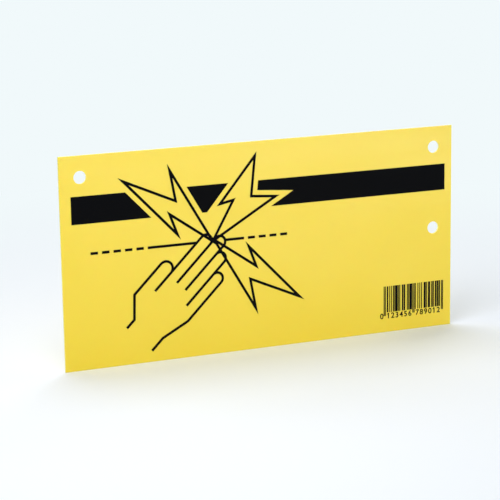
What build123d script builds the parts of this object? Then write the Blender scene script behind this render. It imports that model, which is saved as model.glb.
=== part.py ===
from build123d import *
import os

# Electric fence warning sign: a thin plastic sheet with three punched holes, screen printed in
# black on its front with a band, the usual picture of a hand on a live wire, and a bar code.
# Sizes are in millimetres. The sign hangs upright: X runs to the right seen from the front,
# Z is up, the front looks along -Y, and the origin is the centre of the back face.

# The sheet and the small rounding that cutting leaves along its edges
sheet_length = 200.0
sheet_height = 100.0
sheet_thickness = 1.0
edge_rounding = 0.12

# Punched holes: one in each upper corner, and one below the right one
hole_diameter = 6.0
hole_margin = 10.0
side_hole_drop = 40.0

# Screen print: how thick the ink lies and how wide every line of the picture is
ink_thickness = 0.05
line_width = 1.25

# Band across the sign, and how far it keeps from the middle of the flashes' lines
band_height = 12.85
band_top_margin = 18.67
band_left_margin = 5.27
band_right_margin = 3.75
band_clearance = 2.85

# Point where the wire, the fingers and the flashes meet, from the sheet's left and top edges
meeting_from_left = 74.05
meeting_from_top = 45.18

# Corners of the long flash, to the right of and above the meeting point. It is drawn twice,
# the second time turned half round.
flash_foot = (-0.35, -0.33)
long_tip = (-20.95, 34.75)
long_notch = (-18.35, 20.35)
long_wing = (-43.65, 31.55)
long_barb = (-17.85, 4.6)
long_step = (-21.5, 14.4)

# Corners of the short flash
short_elbow = (10.35, 18.3)
short_shoulder = (3.6, 16.95)
short_tip = (21.55, 38.3)
short_notch = (19.45, 19.3)
short_point = (31.9, 18.25)

# Hand, drawn along its fingers: how far it is turned up from level, and its widths
hand_tilt = 44.6
finger_width = 5.66
thumb_width = 6.7
wrist_width = 17.1

# Along the fingers, from the meeting point: the tips of the four fingers from the index on, and
# the inner ends of the line on the upper side of each
fingertips = (0.4, 4.35, -1.05, -9.0)
finger_roots = (-35.9, -26.2, -26.0, -31.0)

# The same for the thumb's tip and base, the hand's outer corner, its heel and the wrist
thumb_tip = -21.4
thumb_base = -43.55
outer_corner = -35.9
heel_corner = -49.6
wrist_corner = -52.15
wrist_end = -57.4
heel_inset = 4.09

# Wire: how far it lies under the meeting point, its unbroken stretch and its dashes
wire_drop = 0.33
wire_left = 32.58
wire_right = 15.5
dash_length = 3.55
dash_gap = 1.98
left_dashes = 5
right_dashes = 4

# Bar code: its thinnest bar sets the width of all, the ink spreads a little past the sides of each
# bar, and the guard bars hang below the others
thin_bar_width = 0.345
ink_spread = 0.06
code_height = 13.1
code_right_margin = 4.2
code_bottom_margin = 9.9
guard_drop = 1.73

# Widths, in thinnest bars, of the bars and gaps that stand for each figure from 0 to 9, and of
# those in the guards at the ends and in the middle
figure_runs = ("3211", "2221", "2122", "1411", "1132", "1231", "1114", "1312", "1213", "3112")
guard_runs = ("111", "11111")

# The code spells a plain count, 0 1 2 3 and on, whose first 0 has no bars of its own
left_count = range(1, 7)
right_count = range(7, 13)

# Edges of the sheet, and the places that are measured from them
left_edge = -sheet_length / 2
right_edge = sheet_length / 2
bottom_edge = -sheet_height / 2
top_edge = sheet_height / 2
meeting_point = (left_edge + meeting_from_left, top_edge - meeting_from_top)
hole_places = (
    (left_edge + hole_margin, top_edge - hole_margin),
    (right_edge - hole_margin, top_edge - hole_margin),
    (right_edge - hole_margin, top_edge - hole_margin - side_hole_drop),
)

# Planes that look out of the front: the sheet's own, the picture's with its origin at the
# meeting point, and the hand's, turned so that its X runs along the fingers
front_plane = Plane.XZ.offset(sheet_thickness)
picture_plane = front_plane.shift_origin(front_plane.from_local_coords(meeting_point))
hand_plane = Plane(picture_plane.location * Rotation(0, 0, hand_tilt))


def sheet():
    """Return the sheet's outline with its holes."""
    with BuildSketch() as outline:
        Rectangle(sheet_length, sheet_height)
        with Locations(*hole_places):
            Circle(hole_diameter / 2, mode=Mode.SUBTRACT)
    return outline.sketch


def outlined(corners):
    """Return a line drawn along the closed outline through the corners, with sharp ends."""
    with BuildSketch() as outline:
        with BuildLine():
            Polyline(*corners, close=True)
        make_face()
        inside = offset(amount=-line_width / 2, kind=Kind.INTERSECTION, mode=Mode.PRIVATE)
        offset(amount=line_width / 2, kind=Kind.INTERSECTION)
        add(inside, mode=Mode.SUBTRACT)
    return outline.sketch


def cleared(corners):
    """Return the field inside the corners, widened by the distance that the band keeps."""
    with BuildSketch() as field:
        with BuildLine():
            Polyline(*corners, close=True)
        make_face()
        offset(amount=band_clearance, kind=Kind.INTERSECTION)
    return field.sketch


def band():
    """Return the band, which runs from near one side of the sheet to near the other."""
    band_length = sheet_length - band_left_margin - band_right_margin
    with BuildSketch() as field:
        with Locations((left_edge + band_left_margin, top_edge - band_top_margin)):
            Rectangle(band_length, band_height, align=(Align.MIN, Align.MAX))
    return field.sketch


def flash_fields():
    """Return the fields round the two upper flashes that the band stays out of."""
    # Under its shoulder the short flash's field runs on in one line with its left side
    run = (short_tip[0] - short_shoulder[0]) / (short_tip[1] - short_shoulder[1])
    short_base = (short_shoulder[0] - run * (short_shoulder[1] - flash_foot[1]), flash_foot[1])
    with BuildSketch() as fields:
        add(cleared((flash_foot, long_tip, long_wing, long_barb)))
        add(cleared((flash_foot, short_base, short_tip, short_notch, short_point)))
    return fields.sketch


def wire():
    """Return the wire, unbroken near the hand and dashed towards both ends."""
    dash_pitch = dash_length + dash_gap
    with BuildSketch() as line:
        with Locations((-wire_left, -wire_drop)):
            Rectangle(wire_left + wire_right, line_width, align=(Align.MIN, Align.CENTER))
        for count in range(left_dashes):
            with Locations((-wire_left - dash_gap - count * dash_pitch, -wire_drop)):
                Rectangle(dash_length, line_width, align=(Align.MAX, Align.CENTER))
        for count in range(right_dashes):
            with Locations((wire_right + dash_gap + count * dash_pitch, -wire_drop)):
                Rectangle(dash_length, line_width, align=(Align.MIN, Align.CENTER))
    return line.sketch


def finger_side(number):
    """Return how far the upper side of a finger lies above the meeting point, across the hand."""
    return finger_width * (1 - number)


def draw_finger(number):
    """Draw a finger's upper side and its round tip into the open line, and return the tip."""
    side = finger_side(number)
    tip_start = fingertips[number] - finger_width / 2
    upper_side = Line((finger_roots[number], side), (tip_start, side))
    return JernArc(upper_side @ 1, upper_side % 1, finger_width / 2, -180)


def finger_fields():
    """Return the four fingers as filled shapes, which hide the wire behind them."""
    with BuildSketch() as fields:
        for number, root in enumerate(finger_roots):
            with BuildLine():
                tip = draw_finger(number)
                Polyline(tip @ 1, (root, finger_side(number + 1)), (root, finger_side(number)))
            make_face()
    return fields.sketch


def hand():
    """Return the hand's lines: the fingers, the outer side down to the wrist, and the thumb."""
    little = len(fingertips) - 1
    outer_side = finger_side(little + 1)
    heel_side = outer_side + heel_inset
    wrist_side = heel_side + wrist_width
    thumb_side = finger_side(0) + thumb_width
    with BuildSketch() as lines:
        for number in range(little):
            with BuildLine():
                tip = draw_finger(number)
                Line(tip @ 1, (finger_roots[number + 1], finger_side(number + 1)))
            trace(line_width=line_width)
        with BuildLine():
            tip = draw_finger(little)
            Polyline(tip @ 1, (outer_corner, outer_side), (heel_corner, heel_side),
                     (wrist_end, heel_side))
        trace(line_width=line_width)
        with BuildLine():
            thumb = Polyline((wrist_end, wrist_side), (wrist_corner, wrist_side),
                             (thumb_base, thumb_side), (thumb_tip - thumb_width / 2, thumb_side))
            JernArc(thumb @ 1, thumb % 1, thumb_width / 2, -180)
        trace(line_width=line_width)
    return lines.sketch


def flashes():
    """Return the long flash, its twin turned half round, and the short flash between them."""
    with BuildSketch() as lines:
        with PolarLocations(0, 2):
            add(outlined((flash_foot, long_tip, long_notch, long_wing, long_barb, long_step)))
        add(outlined((flash_foot, short_elbow, short_shoulder, short_tip, short_notch,
                      short_point)))
    return lines.sketch


def code_bars():
    """Return each bar's start, width and drop below the others, and the whole code's width."""
    end_guard, middle_guard = guard_runs
    groups = [(end_guard, guard_drop)]
    groups += [(figure_runs[count % len(figure_runs)], 0) for count in left_count]
    groups += [(middle_guard, guard_drop)]
    groups += [(figure_runs[count % len(figure_runs)], 0) for count in right_count]
    groups += [(end_guard, guard_drop)]
    bars = []
    start = 0
    inked = True
    for runs, drop in groups:
        for run in runs:
            width = int(run) * thin_bar_width
            if inked:
                bars.append((start, width, drop))
            start += width
            inked = not inked
    return bars, start


def bar_code():
    """Return the bar code's bars, which stand in the sheet's lower right corner."""
    bars, code_width = code_bars()
    code_left = right_edge - code_right_margin - code_width
    code_top = bottom_edge + code_bottom_margin + code_height
    with BuildSketch() as code:
        for start, width, drop in bars:
            with Locations((code_left + start - ink_spread, code_top)):
                Rectangle(width + 2 * ink_spread, code_height + drop, align=(Align.MIN, Align.MAX))
    return code.sketch


# The sheet, punched and cut
with BuildPart() as plate:
    with BuildSketch(Plane.XZ):
        add(sheet())
    extrude(amount=sheet_thickness)
    rims = plate.edges().filter_by(GeomType.LINE).filter_by(Axis.Y, reverse=True)
    fillet(rims, edge_rounding)

# The picture's ink: the band stops short of the flashes, the wire passes behind the fingers, the
# flashes are drawn across them, and no ink lies beyond the sheet
with BuildPart() as picture_print:
    with BuildSketch(front_plane):
        add(band())
    extrude(amount=ink_thickness)
    with BuildSketch(picture_plane):
        add(flash_fields())
    extrude(amount=ink_thickness, mode=Mode.SUBTRACT)
    with BuildSketch(picture_plane):
        add(wire())
    extrude(amount=ink_thickness)
    with BuildSketch(hand_plane):
        add(finger_fields())
    extrude(amount=ink_thickness, mode=Mode.SUBTRACT)
    with BuildSketch(hand_plane):
        add(hand())
    extrude(amount=ink_thickness)
    with BuildSketch(picture_plane):
        add(flashes())
    extrude(amount=ink_thickness)
    with BuildSketch(front_plane):
        add(sheet())
    extrude(amount=ink_thickness, mode=Mode.INTERSECT)

# The bar code's ink
with BuildPart() as code_print:
    with BuildSketch(front_plane):
        add(bar_code())
    extrude(amount=ink_thickness)

os.makedirs("parts", exist_ok=True)
plate.part.label = "plate"
picture_print.part.label = "picture_print"
code_print.part.label = "code_print"
export_step(plate.part, "parts/plate.step")
export_step(picture_print.part, "parts/picture_print.step")
export_step(code_print.part, "parts/code_print.step")
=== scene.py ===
import math

import bmesh
import bpy
from bpy.props import FloatProperty, FloatVectorProperty, PointerProperty, StringProperty
from mathutils import Matrix, Vector


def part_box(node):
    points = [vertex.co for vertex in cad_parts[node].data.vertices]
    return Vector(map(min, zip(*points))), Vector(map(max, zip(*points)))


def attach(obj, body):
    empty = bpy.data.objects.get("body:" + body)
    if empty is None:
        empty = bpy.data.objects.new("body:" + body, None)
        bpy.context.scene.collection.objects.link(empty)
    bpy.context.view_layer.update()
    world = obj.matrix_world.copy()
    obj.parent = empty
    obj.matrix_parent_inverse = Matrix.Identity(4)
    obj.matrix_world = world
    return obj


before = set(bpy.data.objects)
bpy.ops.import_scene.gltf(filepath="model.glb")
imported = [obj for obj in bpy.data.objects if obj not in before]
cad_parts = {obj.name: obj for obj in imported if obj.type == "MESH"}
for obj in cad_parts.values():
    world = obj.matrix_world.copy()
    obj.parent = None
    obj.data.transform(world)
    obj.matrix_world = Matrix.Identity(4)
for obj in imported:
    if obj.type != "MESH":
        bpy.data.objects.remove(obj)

bl_info = {
    "name": "Electric Fence Sign",
    "version": (1, 0, 0),
    "blender": (4, 5, 0),
    "location": "3D View > Sidebar > Fence Sign",
    "description": "Finishes the yellow plate and its black print, and sets up the stage for them",
    "category": "Object",
}

# One millimetre in Blender's metres, and a turn from lying flat to standing upright
MM = 0.001
QUARTER_TURN = math.radians(90)


# The CAD model's own box, read before anything is added to it
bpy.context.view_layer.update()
PLATE_LOW, PLATE_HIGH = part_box("plate")
CODE_LOW, CODE_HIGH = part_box("code_print")

# A retail bar code is 95 thin bars wide: 3 for each end guard, 5 for the middle one and 7 for
# each of the twelve figures that stand under their own bars, six on either side of the middle
CODE_MODULES = 95
MIDDLE_GUARD_MODULES = 5
FIGURE_MODULES = 7
FIGURES_A_SIDE = 6

# In the built-in font, at a size of one: a figure's height, the one's, the share of the one that
# its flag takes, and how far the flag reaches out and down
FIGURE_HEIGHT = 0.7
ONE_HEIGHT = 0.682
ONE_FLAG_SHARE = 0.16
ONE_FLAG_REACH = 0.12

# The flag is drawn out of the one's left edges that lie above this share of the flag's foot
FLAG_EDGES_ABOVE = 0.99

# Straight steps in each stretch of a figure's round outline, and the least bend between two of
# them that is kept
CURVE_STEPS = 4
LEAST_BEND = math.radians(1)

# How straight out of the sheet a normal points, from 0 to 1: less on the walls of the sheet and
# of its holes, and more on its two faces
WALL_NORMAL = 0.4
FACE_NORMAL = 0.95

# Polypropylene bends light by 1.49, and lets red and yellow light deeper in than blue
POLYPROPYLENE_IOR = 1.49
GLOW_BY_COLOUR = (1.0, 0.75, 0.2)

# A wave texture turns through 20 radians for each unit of its scale
WAVE_RADIANS = 20

# Sockets of a Mix node that share a name and so go by number: the two values that it mixes, the
# two colours, and the colour that comes out
VALUE_A, VALUE_B = 2, 3
COLOUR_A, COLOUR_B = 6, 7
COLOUR_OUT = 2

INK_NAME = "black matt screen ink"

# Sides of the round floor
FLOOR_SIDES = 96

# The soft lamps, which all point at the middle of the sign: name, place, width and height in
# metres, and watts. The low one in front gives the plastic its sheen.
LAMPS = (
    ("front_lamp", (-0.2, -0.2, 0.35), 0.25, 0.25, 0.92),
    ("top_lamp", (0, 0.3, 0.8), 0.4, 0.4, 2.23),
    ("back_left_lamp", (-0.5, 0.6, 0.5), 0.4, 0.4, 0.61),
    ("back_right_lamp", (0.5, 0.6, 0.5), 0.4, 0.4, 1.39),
    ("low_lamp", (0.28, -0.65, -0.015), 0.5, 0.06, 1.5),
)


def linear(hex_colour):
    """Return an sRGB hex colour as linear red, green, blue and an alpha of one."""
    channels = [int(hex_colour[start:start + 2], 16) / 255 for start in (0, 2, 4)]
    light = [c / 12.92 if c <= 0.04045 else ((c + 0.055) / 1.055) ** 2.4 for c in channels]
    return (*light, 1.0)


def pattern_scale(size):
    """Return the noise scale that gives a pattern whose features are that many metres wide."""
    return 1 / size


def wave_scale(pitch):
    """Return the wave scale that gives bands that many metres apart."""
    return math.tau / WAVE_RADIANS / pitch


def add_node(tree, kind, inputs=None, **settings):
    """Add a node with its settings. Each input gets a value, or the output that feeds it."""
    node = tree.nodes.new(kind)
    for name, value in settings.items():
        setattr(node, name, value)
    for name, value in (inputs or {}).items():
        if isinstance(value, bpy.types.NodeSocket):
            tree.links.new(value, node.inputs[name])
        else:
            node.inputs[name].default_value = value
    return node


def new_material(name):
    """Return a new material with an empty node tree, and that tree."""
    material = bpy.data.materials.new(name)
    material.use_nodes = True
    material.node_tree.nodes.clear()
    return material, material.node_tree


def yellow_polypropylene(sheet):
    """Return the plate's material: polypropylene dyed right through, extruded as a sheet.

    The rolls leave a fine matt grain and faint streaks along the sheet, the sheet is never quite
    flat, and a little light goes through it. The punched and cut edges are paler than the faces,
    partly as scuffed plastic and partly as a painted highlight where they catch the light.
    """
    material, tree = new_material("yellow extruded polypropylene")
    place = add_node(tree, "ShaderNodeTexCoord").outputs["Object"]

    # Clouds in the dye, a few centimetres wide and hardly there
    clouds = add_node(tree, "ShaderNodeTexNoise", {
        "Vector": place, "Scale": pattern_scale(sheet.cloud_size), "Detail": 3.0})
    dyed = add_node(tree, "ShaderNodeMix", {
        "Factor": clouds.outputs["Fac"], COLOUR_A: sheet.deep_colour, COLOUR_B: sheet.colour},
        data_type="RGBA")

    # The side walls of the sheet and of its holes face away from Y, and are rougher and paler. The
    # paler colour is partly scuffed cut plastic and partly a painted highlight on the edges.
    facing = add_node(tree, "ShaderNodeSeparateXYZ", {
        "Vector": add_node(tree, "ShaderNodeNewGeometry").outputs["Normal"]})
    flatness = add_node(tree, "ShaderNodeMath", {0: facing.outputs["Y"]}, operation="ABSOLUTE")
    cut = add_node(tree, "ShaderNodeMapRange", {
        "Value": flatness.outputs[0], "From Min": FACE_NORMAL, "From Max": WALL_NORMAL})
    # Painted highlight, in part: the walls take the paler cut colour, also for the light they
    # catch
    colour = add_node(tree, "ShaderNodeMix", {
        "Factor": cut.outputs[0], COLOUR_A: dyed.outputs[COLOUR_OUT], COLOUR_B: sheet.cut_and_highlight_colour},
        data_type="RGBA")

    # Streaks from the rolls, long along the sheet and narrow across it
    along = add_node(tree, "ShaderNodeMapping", {
        "Vector": place, "Scale": (sheet.streak_width / sheet.streak_length, 1.0, 1.0)})
    streaks = add_node(tree, "ShaderNodeTexNoise", {
        "Vector": along.outputs[0], "Scale": pattern_scale(sheet.streak_width), "Detail": 2.0})
    streaked = add_node(tree, "ShaderNodeMapRange", {
        "Value": streaks.outputs["Fac"], "To Min": sheet.roughness - sheet.streak_strength,
        "To Max": sheet.roughness + sheet.streak_strength})
    roughness = add_node(tree, "ShaderNodeMix", {
        "Factor": cut.outputs[0], VALUE_A: streaked.outputs[0], VALUE_B: sheet.cut_roughness})

    # Slow waves of the sheet, with the grain of the rolls on top of them. Both are drawn higher
    # than they are, and the grain coarser too, so that they show.
    waves = add_node(tree, "ShaderNodeTexNoise", {
        "Vector": place, "Scale": pattern_scale(sheet.wave_length), "Detail": 1.0})
    waved = add_node(tree, "ShaderNodeBump", {
        "Height": waves.outputs["Fac"], "Distance": sheet.wave_height})
    grain = add_node(tree, "ShaderNodeTexNoise", {
        "Vector": place, "Scale": pattern_scale(sheet.grain_size), "Detail": 2.0})
    grained = add_node(tree, "ShaderNodeBump", {
        "Height": grain.outputs["Fac"], "Distance": sheet.grain_height,
        "Normal": waved.outputs[0]})

    plastic = add_node(tree, "ShaderNodeBsdfPrincipled", {
        "Base Color": colour.outputs[COLOUR_OUT], "Roughness": roughness.outputs[0],
        "IOR": POLYPROPYLENE_IOR, "Subsurface Weight": sheet.glow,
        "Subsurface Radius": GLOW_BY_COLOUR, "Subsurface Scale": sheet.glow_depth,
        "Normal": grained.outputs[0]})
    add_node(tree, "ShaderNodeOutputMaterial", {"Surface": plastic.outputs[0]})
    return material


def black_screen_ink(ink):
    """Return the print's material: black plastic ink pressed through a screen.

    It dries matt and nearly without shine. The screen's threads leave a faint square texture in
    it, and its thickness varies a little, which shows as cloudy changes of its shine.
    """
    material, tree = new_material(INK_NAME)
    place = add_node(tree, "ShaderNodeTexCoord").outputs["Object"]
    clouds = add_node(tree, "ShaderNodeTexNoise", {
        "Vector": place, "Scale": pattern_scale(ink.cloud_size), "Detail": 4.0})
    colour = add_node(tree, "ShaderNodeMix", {
        "Factor": clouds.outputs["Fac"], COLOUR_A: ink.colour, COLOUR_B: ink.thin_colour},
        data_type="RGBA")
    roughness = add_node(tree, "ShaderNodeMapRange", {
        "Value": clouds.outputs["Fac"], "To Min": ink.roughness - ink.cloud_strength,
        "To Max": ink.roughness + ink.cloud_strength})

    # Threads of the screen along both sides of the sheet. Real ones lie about 0.1 to 0.2 mm
    # apart, and these are drawn wider and higher, so that they show.
    crossings = [add_node(tree, "ShaderNodeTexWave", {
        "Vector": place, "Scale": wave_scale(ink.thread_pitch)},
        wave_type="BANDS", bands_direction=direction).outputs["Fac"] for direction in ("X", "Z")]
    mesh = add_node(tree, "ShaderNodeMath", {0: crossings[0], 1: crossings[1]},
                    operation="MULTIPLY")
    pressed = add_node(tree, "ShaderNodeBump", {
        "Height": mesh.outputs[0], "Distance": ink.thread_height})

    film = add_node(tree, "ShaderNodeBsdfPrincipled", {
        "Base Color": colour.outputs[COLOUR_OUT], "Roughness": roughness.outputs[0],
        "Specular IOR Level": ink.shine, "Normal": pressed.outputs[0]})
    add_node(tree, "ShaderNodeOutputMaterial", {"Surface": film.outputs[0]})
    return material


class SheetFinish(bpy.types.PropertyGroup):
    """Colours and surface of the yellow sheet."""
    colour: FloatVectorProperty(
        name="Colour", description="Dye of the sheet", subtype="COLOR", size=4,
        min=0.0, max=1.0, default=linear("EDD530"))
    deep_colour: FloatVectorProperty(
        name="Deep colour", description="Dye where it lies a little thicker", subtype="COLOR",
        size=4, min=0.0, max=1.0, default=linear("E9D126"))
    # The cut colour is partly scuffed plastic and partly a painted highlight on the edges
    cut_and_highlight_colour: FloatVectorProperty(
        name="Cut colour", description="Sheet where it was punched or cut", subtype="COLOR",
        size=4, min=0.0, max=1.0, default=linear("FCEE9C"))
    roughness: FloatProperty(
        name="Roughness", description="How matt the faces are", subtype="FACTOR",
        min=0.0, max=1.0, default=0.35)
    cut_roughness: FloatProperty(
        name="Cut roughness", description="How matt the punched and cut walls are",
        subtype="FACTOR", min=0.0, max=1.0, default=0.7)
    glow: FloatProperty(
        name="Glow", description="Share of the light that goes into the plastic",
        subtype="FACTOR", min=0.0, max=1.0, default=0.6)
    glow_depth: FloatProperty(
        name="Glow depth", description="How far the light goes into the plastic",
        unit="LENGTH", default=1 * MM)
    cloud_size: FloatProperty(
        name="Cloud size", description="Width of the clouds in the dye", unit="LENGTH",
        default=35 * MM)
    streak_length: FloatProperty(
        name="Streak length", description="Length of the streaks left by the rolls",
        unit="LENGTH", default=80 * MM)
    streak_width: FloatProperty(
        name="Streak width", description="Width of the streaks left by the rolls",
        unit="LENGTH", default=3 * MM)
    streak_strength: FloatProperty(
        name="Streak strength", description="How far the streaks change the roughness",
        subtype="FACTOR", min=0.0, max=1.0, default=0.05)
    wave_length: FloatProperty(
        name="Wave length", description="Width of the sheet's slow waves", unit="LENGTH",
        default=70 * MM)
    wave_height: FloatProperty(
        name="Wave height", description="Height of the slow waves, drawn higher than it is",
        unit="LENGTH", default=1.5 * MM)
    grain_size: FloatProperty(
        name="Grain size", description="Width of the matt grain, drawn coarser than it is",
        unit="LENGTH", default=0.5 * MM)
    grain_height: FloatProperty(
        name="Grain height", description="Height of the matt grain, drawn higher than it is",
        unit="LENGTH", default=0.03 * MM)


class InkFinish(bpy.types.PropertyGroup):
    """Colours and surface of the black print."""
    colour: FloatVectorProperty(
        name="Colour", description="Ink where it lies thick", subtype="COLOR", size=4,
        min=0.0, max=1.0, default=linear("030305"))
    thin_colour: FloatVectorProperty(
        name="Thin colour", description="Ink where it lies thinner", subtype="COLOR", size=4,
        min=0.0, max=1.0, default=linear("060709"))
    roughness: FloatProperty(
        name="Roughness", description="How matt the ink dries", subtype="FACTOR",
        min=0.0, max=1.0, default=0.6)
    shine: FloatProperty(
        name="Shine", description="How much the ink mirrors, where a clear varnish has 0.5",
        subtype="FACTOR", min=0.0, max=1.0, default=0.035)
    cloud_size: FloatProperty(
        name="Cloud size", description="Width of the ink's thin and thick places",
        unit="LENGTH", default=12 * MM)
    cloud_strength: FloatProperty(
        name="Cloud strength", description="How far thin and thick places change the roughness",
        subtype="FACTOR", min=0.0, max=1.0, default=0.1)
    thread_pitch: FloatProperty(
        name="Thread pitch", description="Spacing of the screen's threads, drawn wider than it is",
        unit="LENGTH", default=0.6 * MM)
    thread_height: FloatProperty(
        name="Thread height", unit="LENGTH", default=0.03 * MM,
        description="Height of the texture that the threads leave, drawn higher than it is")


class CodeFigures(bpy.types.PropertyGroup):
    """Figures printed under the bar code."""
    figures: StringProperty(
        name="Figures", default="0123456789012",
        description="A plain count, one figure before the bars and twelve under them")
    height: FloatProperty(
        name="Height", description="Height of a figure", unit="LENGTH", default=2.7 * MM)
    boldness: FloatProperty(
        name="Boldness", description="How far the strokes swell past the font's own, on each side",
        unit="LENGTH", default=0.06 * MM)
    drop: FloatProperty(
        name="Drop", description="From the feet of the guard bars down to the figures' middle",
        unit="LENGTH", default=0.0)
    lead: FloatProperty(
        name="Lead", description="From the bars' left side out to the first figure's middle",
        unit="LENGTH", default=1.05 * MM)
    gathering: FloatProperty(
        name="Gathering", description="How far the figures draw in from the middles of their bars",
        subtype="FACTOR", min=0.0, max=1.0, default=0.025)
    ink_thickness: FloatProperty(
        name="Ink thickness", description="How proud of the sheet the figures stand",
        unit="LENGTH", default=PLATE_LOW.y - CODE_LOW.y)


class StageSettings(bpy.types.PropertyGroup):
    """Camera, floor and light."""
    lens: FloatProperty(
        name="Lens", description="Focal length in millimetres", default=135.0)
    azimuth: FloatProperty(
        name="Azimuth", description="How far round the sign the camera stands",
        subtype="ANGLE", default=math.radians(-22.83))
    elevation: FloatProperty(
        name="Elevation", description="How far above the sign's middle the camera stands",
        subtype="ANGLE", default=math.radians(12.36))
    roll: FloatProperty(
        name="Roll", description="How far the camera is turned about its own axis",
        subtype="ANGLE", default=math.radians(-0.9))
    distance: FloatProperty(
        name="Distance", description="From the camera to the sign's middle", unit="LENGTH",
        default=885.7 * MM)
    aim_right: FloatProperty(
        name="Aim right", description="How far the sign's middle lies right of the view's",
        unit="LENGTH", default=6.9 * MM)
    aim_up: FloatProperty(
        name="Aim up", description="How far the sign's middle lies above the view's",
        unit="LENGTH", default=2.3 * MM)
    floor_radius: FloatProperty(
        name="Floor radius", description="Radius of the round floor", unit="LENGTH", default=4.0)
    near_floor: FloatVectorProperty(
        name="Near floor", description="Floor round the sign", subtype="COLOR", size=4,
        min=0.0, max=1.0, default=linear("F6F8FD"))
    backdrop: FloatVectorProperty(
        name="Backdrop", description="Floor far behind the sign, and all beyond it",
        subtype="COLOR", size=4, min=0.0, max=1.0, default=linear("F1F9FB"))
    fade_start: FloatProperty(
        name="Fade start", description="Where the floor starts to turn into the backdrop",
        unit="LENGTH", default=120 * MM)
    fade_end: FloatProperty(
        name="Fade end", description="Where the floor has turned into the backdrop",
        unit="LENGTH", default=450 * MM)
    room_light: FloatProperty(
        name="Room light", description="Strength of the even light that comes from all round",
        min=0.0, default=0.4)


def repaint(piece, material):
    """Give every face of the piece that material."""
    piece.data.materials.clear()
    piece.data.materials.append(material)


class FENCE_SIGN_OT_sheet(bpy.types.Operator):
    """Finish the plate as a sheet of extruded yellow plastic"""
    bl_idname = "fence_sign.sheet"
    bl_label = "Finish the Sheet"

    def execute(self, context):
        repaint(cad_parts["plate"], yellow_polypropylene(context.scene.fence_sign_sheet))
        return {"FINISHED"}


class FENCE_SIGN_OT_print(bpy.types.Operator):
    """Finish the picture and the bars of the bar code as black screen ink"""
    bl_idname = "fence_sign.print"
    bl_label = "Finish the Print"

    def execute(self, context):
        ink = black_screen_ink(context.scene.fence_sign_ink)
        for name in ("picture_print", "code_print"):
            repaint(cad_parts[name], ink)
        return {"FINISHED"}


def figure_places(figures):
    """Return where the middle of each figure lies along X."""
    middle = (CODE_LOW.x + CODE_HIGH.x) / 2
    module = (CODE_HIGH.x - CODE_LOW.x) / CODE_MODULES * (1 - figures.gathering)
    places = [CODE_LOW.x - figures.lead]
    for side in (-1, 1):
        for count in range(FIGURES_A_SIDE):
            step = count + 0.5 if side > 0 else FIGURES_A_SIDE - count - 0.5
            modules = MIDDLE_GUARD_MODULES / 2 + step * FIGURE_MODULES
            places.append(middle + side * modules * module)
    return places


def add_flag(size):
    """Give the one its flag. The built-in font draws a one as a bare stroke, like another bar."""
    mesh = bpy.context.active_object.data
    flag_foot = ONE_HEIGHT * size * (1 - ONE_FLAG_SHARE)
    bpy.ops.mesh.select_all(action="SELECT")
    bpy.ops.mesh.bisect(plane_co=(0, flag_foot, 0), plane_no=(0, 1, 0))
    bpy.ops.mesh.select_all(action="DESELECT")
    bpy.ops.mesh.select_mode(type="EDGE")
    flat = bmesh.from_edit_mesh(mesh)
    middle = sum(vertex.co.x for vertex in flat.verts) / len(flat.verts)
    for edge in flat.edges:
        places = [vertex.co for vertex in edge.verts]
        edge.select = all(
            place.x < middle and place.y > flag_foot * FLAG_EDGES_ABOVE for place in places)
    bmesh.update_edit_mesh(mesh)
    reach = ONE_FLAG_REACH * size
    bpy.ops.mesh.extrude_edges_move(TRANSFORM_OT_translate={"value": (-reach, -reach, 0)})


def model_figure(figure, place, figures):
    """Model one figure as a film of ink that lies on the sheet, with its middle at that place."""
    size = figures.height / FIGURE_HEIGHT
    bpy.ops.object.select_all(action="DESELECT")
    bpy.ops.object.text_add()
    text = bpy.context.active_object.data
    text.body = figure
    text.size = size
    text.offset = figures.boldness
    text.resolution_u = CURVE_STEPS
    text.align_x = "CENTER"
    bpy.ops.object.convert(target="MESH")
    piece = bpy.context.active_object
    bpy.ops.object.mode_set(mode="EDIT")
    bpy.ops.mesh.select_all(action="SELECT")
    bpy.ops.mesh.dissolve_limited(angle_limit=LEAST_BEND)
    if figure == "1":
        add_flag(size)
    bpy.ops.mesh.select_all(action="SELECT")
    bpy.ops.mesh.extrude_region_move(
        TRANSFORM_OT_translate={"value": (0, 0, figures.ink_thickness)})
    bpy.ops.mesh.select_all(action="SELECT")
    bpy.ops.mesh.normals_make_consistent(inside=False)
    bpy.ops.object.mode_set(mode="OBJECT")
    piece.rotation_euler = (QUARTER_TURN, 0, 0)
    piece.location = place
    bpy.ops.object.transform_apply(location=True, rotation=True, scale=True)
    return piece


class FENCE_SIGN_OT_code_figures(bpy.types.Operator):
    """Model the figures under the bar code"""
    bl_idname = "fence_sign.code_figures"
    bl_label = "Print the Figures"

    def execute(self, context):
        figures = context.scene.fence_sign_figures
        foot = CODE_LOW.z - figures.drop - figures.height / 2
        pieces = [model_figure(figure, (across, PLATE_LOW.y, foot), figures)
                  for figure, across in zip(figures.figures, figure_places(figures))]
        bpy.ops.object.select_all(action="DESELECT")
        for piece in pieces:
            piece.select_set(True)
        bpy.context.view_layer.objects.active = pieces[0]
        bpy.ops.object.join()
        row = bpy.context.active_object
        row.name = "code_figures"
        repaint(row, bpy.data.materials[INK_NAME])
        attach(row, "root")
        return {"FINISHED"}


class FENCE_SIGN_OT_stage(bpy.types.Operator):
    """Set up the floor, the backdrop, the lamps and the camera"""
    bl_idname = "fence_sign.stage"
    bl_label = "Set Up the Stage"

    def execute(self, context):
        stage = context.scene.fence_sign_stage
        lay_floor(stage)
        light_world(stage)
        for name, place, width, height, power in LAMPS:
            hang_lamp(name, place, width, height, power)
        place_camera(stage)
        return {"FINISHED"}


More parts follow.
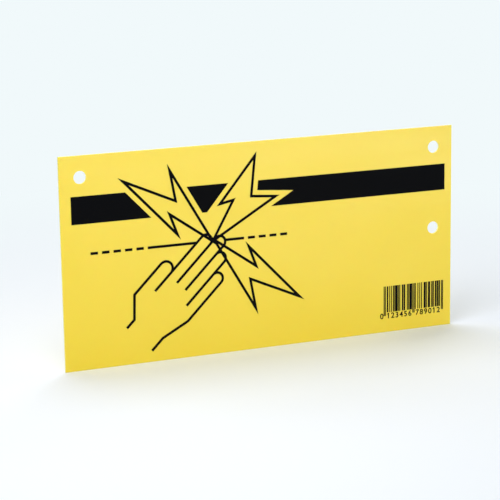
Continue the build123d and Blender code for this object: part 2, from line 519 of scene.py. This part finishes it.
def shown_ray(tree):
    """Return an output that is one for rays that show the backdrop, and zero for lighting ones."""
    path = add_node(tree, "ShaderNodeLightPath")
    seen = add_node(tree, "ShaderNodeMath", {
        0: path.outputs["Is Camera Ray"], 1: path.outputs["Is Glossy Ray"]}, operation="MAXIMUM")
    through = add_node(tree, "ShaderNodeMath", {
        0: seen.outputs[0], 1: path.outputs["Is Transmission Ray"]}, operation="MAXIMUM")
    return through.outputs[0]


def lay_floor(stage):
    """Lay a round floor under the sign. It turns into the plain backdrop behind the sign."""
    bpy.ops.object.select_all(action="DESELECT")
    bpy.ops.mesh.primitive_circle_add(
        vertices=FLOOR_SIDES, radius=stage.floor_radius, fill_type="NGON",
        location=(0, 0, PLATE_LOW.z))
    floor = bpy.context.active_object
    floor.name = "floor"
    bpy.ops.object.transform_apply(location=True, rotation=False, scale=False)

    material, tree = new_material("pale studio floor")
    place = add_node(tree, "ShaderNodeTexCoord").outputs["Object"]
    apart = add_node(tree, "ShaderNodeVectorMath", {0: place}, operation="LENGTH")
    far = add_node(tree, "ShaderNodeMapRange", {
        "Value": apart.outputs["Value"], "From Min": stage.fade_start, "From Max": stage.fade_end},
        interpolation_type="SMOOTHSTEP")
    shown = add_node(tree, "ShaderNodeMath", {0: far.outputs[0], 1: shown_ray(tree)},
                     operation="MULTIPLY")
    near = add_node(tree, "ShaderNodeBsdfDiffuse", {"Color": stage.near_floor})
    beyond = add_node(tree, "ShaderNodeEmission", {"Color": stage.backdrop, "Strength": 1.0})
    mixed = add_node(tree, "ShaderNodeMixShader", {
        0: shown.outputs[0], 1: near.outputs[0], 2: beyond.outputs[0]})
    add_node(tree, "ShaderNodeOutputMaterial", {"Surface": mixed.outputs[0]})
    repaint(floor, material)


def light_world(stage):
    """Fill the room with even light, which is seen as the plain backdrop."""
    world = bpy.data.worlds.new("studio")
    world.use_nodes = True
    tree = world.node_tree
    tree.nodes.clear()
    strength = add_node(tree, "ShaderNodeMapRange", {
        "Value": shown_ray(tree), "To Min": stage.room_light, "To Max": 1.0})
    sky = add_node(tree, "ShaderNodeBackground", {
        "Color": stage.backdrop, "Strength": strength.outputs[0]})
    add_node(tree, "ShaderNodeOutputWorld", {"Surface": sky.outputs[0]})
    bpy.context.scene.world = world


def hang_lamp(name, place, width, height, power):
    """Hang a soft lamp at that place, turned to the sign's middle and hidden from the camera."""
    bpy.ops.object.select_all(action="DESELECT")
    bpy.ops.object.light_add(type="AREA", location=place)
    lamp = bpy.context.active_object
    lamp.name = name
    lamp.rotation_euler = (-Vector(place)).to_track_quat("-Z", "Y").to_euler()
    lamp.visible_camera = False
    lamp.data.shape = "RECTANGLE"
    lamp.data.size = width
    lamp.data.size_y = height
    lamp.data.energy = power


def place_camera(stage):
    """Place the camera at the photograph's viewing angle."""
    bpy.ops.object.select_all(action="DESELECT")
    bpy.ops.object.camera_add()
    camera = bpy.context.active_object
    camera.data.lens = stage.lens
    front_middle = Vector((0, PLATE_LOW.y, (PLATE_LOW.z + PLATE_HIGH.z) / 2))
    turn = (Matrix.Rotation(stage.azimuth, 3, "Z")
            @ Matrix.Rotation(QUARTER_TURN - stage.elevation, 3, "X")
            @ Matrix.Rotation(stage.roll, 3, "Z"))
    from_middle = Vector((-stage.aim_right, -stage.aim_up, stage.distance))
    camera.location = front_middle + turn @ from_middle
    camera.rotation_euler = turn.to_euler()
    bpy.context.scene.camera = camera
    bpy.context.scene.view_settings.view_transform = "Standard"


# Each step with the settings that it uses, in the order that builds the scene
STEPS = (
    (FENCE_SIGN_OT_sheet, "fence_sign_sheet", SheetFinish),
    (FENCE_SIGN_OT_print, "fence_sign_ink", InkFinish),
    (FENCE_SIGN_OT_code_figures, "fence_sign_figures", CodeFigures),
    (FENCE_SIGN_OT_stage, "fence_sign_stage", StageSettings),
)


class FENCE_SIGN_PT_panel(bpy.types.Panel):
    """The steps that finish the sign, each over the settings that it uses"""
    bl_idname = "FENCE_SIGN_PT_panel"
    bl_label = "Fence Sign"
    bl_space_type = "VIEW_3D"
    bl_region_type = "UI"
    bl_category = "Fence Sign"

    def draw(self, context):
        self.layout.use_property_split = True
        for step, settings_name, settings_class in STEPS:
            box = self.layout.box()
            box.operator(step.bl_idname)
            for setting in settings_class.__annotations__:
                box.prop(getattr(context.scene, settings_name), setting)


def register():
    """Register the classes and hang the settings on the scene."""
    for step, settings_name, settings_class in STEPS:
        bpy.utils.register_class(settings_class)
        bpy.utils.register_class(step)
        setattr(bpy.types.Scene, settings_name, PointerProperty(type=settings_class))
    bpy.utils.register_class(FENCE_SIGN_PT_panel)


def unregister():
    """Take the settings off the scene and unregister the classes."""
    bpy.utils.unregister_class(FENCE_SIGN_PT_panel)
    for step, settings_name, settings_class in reversed(STEPS):
        delattr(bpy.types.Scene, settings_name)
        bpy.utils.unregister_class(step)
        bpy.utils.unregister_class(settings_class)


def main():
    """Finish every piece and set up the stage."""
    register()
    bpy.ops.fence_sign.sheet()
    bpy.ops.fence_sign.print()
    bpy.ops.fence_sign.code_figures()
    bpy.ops.fence_sign.stage()


if __name__ == "__main__":
    main()
